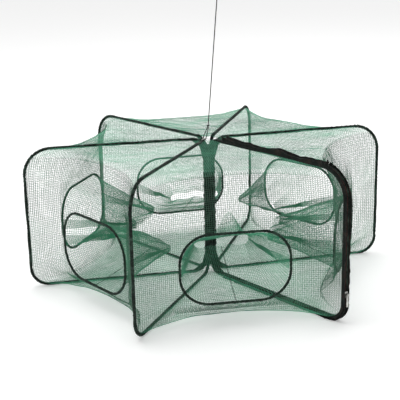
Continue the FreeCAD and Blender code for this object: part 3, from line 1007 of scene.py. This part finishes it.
def make_zip(index, side, word):
    way = along_loop(index)
    across = np.array([-way[1], way[0], 0.0]) * side
    path, outward = zip_run(index, COIL_OUT, 0.004)
    length = np.linalg.norm(np.diff(path, axis=0), axis=1).sum()
    at = np.linspace(0, length, int(length / TOOTH_PITCH) * 7)
    along = lengths(path)
    p, o = pick(path, along, at), unit(pick(outward, along, at))
    phase = at / TOOTH_PITCH * 2 * math.pi + (math.pi if side > 0 else 0.0)
    helix = p + across * COIL_ASIDE + o * (np.sin(phase) * COIL_R)[:, None]
    helix = helix + across * (np.cos(phase) * COIL_R * 1.1)[:, None]
    build = Build()
    build.tube(helix, 0.0003, 4, unit(np.gradient(p, axis=0)))
    dress(build.object(f"zip_coil_{word}", COIL), loop_body(index), f"zip_half_{word}")
    build = Build()
    path, outward = zip_run(index, 0.0, 0.003)
    t = np.arange(len(path)) * 0.003
    rng = np.random.default_rng(900 + index)
    pucker = sum(a * np.sin(t * f + rng.uniform(0, 6.28)) for a, f in PUCKER_WAVES)
    lift = sum(a * np.sin(t * f + rng.uniform(0, 6.28)) for a, f in LIFT_WAVES)
    high = np.clip((path[:, 2] - Z1 + 0.004) / 0.004, 0, 1)
    swell = high * (0.0022 * np.sin(t * 42 + index) + 0.0016 * np.sin(t * 73 + 2) + 0.002)
    rows = []
    for turn in np.radians(np.linspace(-60, 60, 8)):
        rows.append(path + outward * TAPE_R * math.sin(turn) - across * TAPE_R * math.cos(turn))
    for v in np.linspace(0, 1, 7)[1:]:
        out = v * (0.0040 + 0.0009 * lift + swell)
        away = v * 0.0012 + v * 0.0011 * pucker
        rows.append(rows[7] + outward * out[:, None] - across * away[:, None])
    grid = np.stack(rows, axis=1)
    # Where the tape would reach the ground it lies out along it.
    sunk = np.maximum(0.0005 - grid[:, :, 2:3], 0.0)
    grid = grid - across * sunk
    grid[:, :, 2:3] += sunk
    cloth_grid(build, grid, 0.0008, across)
    flap = build.object(f"zip_flap_{word}", FLAP)
    dress(flap, loop_body(index))


make_zip(0, -1, "right")
make_zip(len(LOOPS) - 1, 1, "left")


# ---------------------------------------------------------------- rope

ROPE_D, BRIDLE_D = 0.0024, 0.0020
ROPE_LENGTH = 0.276
ROPE_UP = Vector((0.0837, -0.0218, 1.0)).normalized()
KNOT_R = 0.0035
END_LOOP_R = 0.0075


def spline_line(points):
    """The points of a smooth spline with these control points, in the row frame."""
    curve = bpy.data.curves.new("route", "CURVE")
    curve.dimensions = "3D"
    spline = curve.splines.new("NURBS")
    spline.points.add(len(points) - 1)
    for point, place in zip(spline.points, points):
        point.co = (*place, 1.0)
    spline.order_u = 3
    spline.use_endpoint_u = True
    curve.resolution_u = 24
    obj = bpy.data.objects.new("route", curve)
    mesh = bpy.data.meshes.new_from_object(obj)
    line = np.array([v.co for v in mesh.vertices], float)
    bpy.data.objects.remove(obj)
    bpy.data.curves.remove(curve)
    bpy.data.meshes.remove(mesh)
    return line


def lay_rope(name, line, diameter, material, closed=False, twist=0.011, strands=3):
    """Strands twisted round a line."""
    line = resample(line, 0.0011)
    if closed:
        line = line[:-1]
    ahead = unit(np.roll(line, -1, 0) - np.roll(line, 1, 0) if closed else np.gradient(line, axis=0))
    side = unit(np.cross(ahead, np.array([0.31, 0.87, 0.12])))
    up = np.cross(side, ahead)
    at = lengths(line)
    turns = at / twist
    if closed:
        whole = at[-1] + np.linalg.norm(line[0] - line[-1])
        turns = at / whole * max(1, round(whole / twist))
    build = Build()
    for k in range(strands):
        phase = (turns + k / strands) * 2 * math.pi
        offset = side * np.cos(phase)[:, None] + up * np.sin(phase)[:, None]
        build.tube(line + offset * diameter * 0.235, diameter * 0.265, 7, ahead, closed=closed)
    return build.object(name, material)


def box_middle(node):
    low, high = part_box(node)
    return (low + high) / 2


KNOT, END_LOOP, HANG_RING = (box_middle(n) for n in ("rope_knot", "rope_end_loop", "hanging_ring"))


def make_rope():
    body = loop_body(ROOT)
    foot = KNOT + ROPE_UP * (KNOT_R - 0.00005)
    head = foot + ROPE_UP * ROPE_LENGTH
    line = spline_line([foot, foot.lerp(head, 0.5), head])
    rope = lay_rope("hanging_rope_strands", line, ROPE_D, ROPE)
    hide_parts("hanging_rope")
    a = np.linspace(0, 2 * math.pi, 41)
    sideways = ROPE_UP.cross(Vector((0.0837, -0.0218, 0.0))).normalized()
    across = np.array(ROPE_UP.cross(ROPE_UP.cross(sideways)).normalized())
    circle = np.cos(a)[:, None] * across + np.sin(a)[:, None] * np.array(ROPE_UP)
    circle = np.array(END_LOOP) + END_LOOP_R * circle
    eye = lay_rope("rope_eye_strands", circle, ROPE_D, ROPE, closed=True)
    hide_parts("rope_end_loop")
    t = np.linspace(0, 2 * math.pi, 121)
    trefoil = [np.sin(t) + 2 * np.sin(2 * t), np.cos(t) - 2 * np.cos(2 * t), -1.1 * np.sin(3 * t)]
    tref = np.stack(trefoil, axis=1)
    knot = lay_rope("rope_knot_strands", np.array(KNOT) + tref * 0.00088, ROPE_D * 0.86, ROPE, closed=True)
    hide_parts("rope_knot")
    way = along_loop(ROOT)
    bend_out = Vector((-way[0], -way[1], 1.0)).normalized()
    low = HANG_RING + bend_out * 0.0035
    top = KNOT - Vector((0, 0, KNOT_R - 0.0006))
    up = (top - low).normalized()
    aside = up.cross(Vector((-way[1], way[0], 0.0))).normalized()
    half, leg = 0.0042, 0.0011
    points = [
        top - aside * leg,
        low + up * half * 1.6 - aside * half,
        low - aside * half * 0.95,
        low + aside * half * 0.95,
        low + up * half * 1.6 + aside * half,
        top + aside * leg,
    ]
    line = spline_line(points)
    bridle = lay_rope("rope_bridle_strands", line, BRIDLE_D, ROPE, twist=0.009)
    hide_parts("rope_bridle")
    for piece in (rope, eye, knot, bridle):
        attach(piece, body)


make_rope()


# ---------------------------------------------------------------- funnel ties

TIE_D = 0.0017


def make_tie(name, sector, start, end, slack=0.0):
    """A short cord from one place on a funnel to its ring."""
    start, end = np.array(start, float), np.array(end, float)
    middle = (start + end) / 2 - np.array([0, 0, slack])
    line = spline_line([start, middle, end])
    obj = lay_rope(name, line, TIE_D, TIE, twist=0.006, strands=2)
    swing_blend(obj, sector)


for sector in SECTOR:
    lip = funnel_points(sector, np.array([0.75]), np.array([1.0]))[0]
    foot = sector.world([[sector.ring_x, 0.0, sector.ring[2] - sector.ring_h + 0.001]])[0]
    make_tie(f"funnel_tie_{sector.name}", sector, foot, lip, 0.002)


# ---------------------------------------------------------------- carried-over CAD nodes


def paint(node, material):
    obj = frame["nodes"][node]
    obj.data.materials.clear()
    obj.data.materials.append(material)


for name in LOOPS:
    paint(f"frame_wire_{name}", STEEL)
for name in SECTORS:
    paint(f"ring_wire_{name}", STEEL)
paint("zip_slider", SLIDER)
paint("zip_pull", SLIDER)
paint("hanging_ring", WHITE)


# ---------------------------------------------------------------- floor and light


def make_floor():
    mat, tree, shader = new_material("floor_paper")
    fibres = noise(tree, 40.0, 3.0)
    colour = ramp(tree, fibres, [(0.3, (0.86, 0.865, 0.86)), (0.7, (0.88, 0.88, 0.88))])
    tree.links.new(colour, shader.inputs["Base Color"])
    shader.inputs["Roughness"].default_value = 0.9
    shader.inputs["Emission Color"].default_value = (1.0, 1.0, 1.0, 1.0)
    shader.inputs["Emission Strength"].default_value = 0.3
    size = 14.0
    verts = [(-size, -size, 0), (size, -size, 0), (size, size, 0), (-size, size, 0)]
    floor = mesh_object("floor", verts, [(0, 1, 2, 3)], mat)
    floor.location.z = -0.0006


# Name, place, watts and side.
LIGHTS = (("key", (-0.8, 0.4, 3.4), 50.0, 2.4), ("fill", (1.8, 1.8, 2.8), 20.0, 2.6))


def make_lights():
    world = bpy.data.worlds.new("studio")
    bpy.context.scene.world = world
    world.use_nodes = True
    sky = world.node_tree.nodes["Background"]
    tree = world.node_tree
    place = tree.nodes.new("ShaderNodeTexCoord")
    back = add_node(tree, "ShaderNodeVectorMath", operation="DOT_PRODUCT")
    tree.links.new(place.outputs["Generated"], back.inputs[0])
    back.inputs[1].default_value = (0.25, 0.97, 0.25)
    way = spread_range(tree, back.outputs["Value"], 0.0, 1.0)
    shade = ramp(tree, way, [(0.0, (0.3, 0.3, 0.3)), (0.4, (1.0, 1.0, 1.0))])
    tree.links.new(shade, sky.inputs["Color"])
    sky.inputs["Strength"].default_value = 1.0
    for name, place, energy, size in LIGHTS:
        data = bpy.data.lights.new(name, "AREA")
        data.energy, data.size = energy, size
        light = bpy.data.objects.new(name, data)
        light.location = place
        light.rotation_euler = (-Vector(place)).to_track_quat("-Z", "Y").to_euler()
        bpy.context.scene.collection.objects.link(light)


make_floor()
make_lights()
bpy.context.scene.view_settings.view_transform = "Standard"
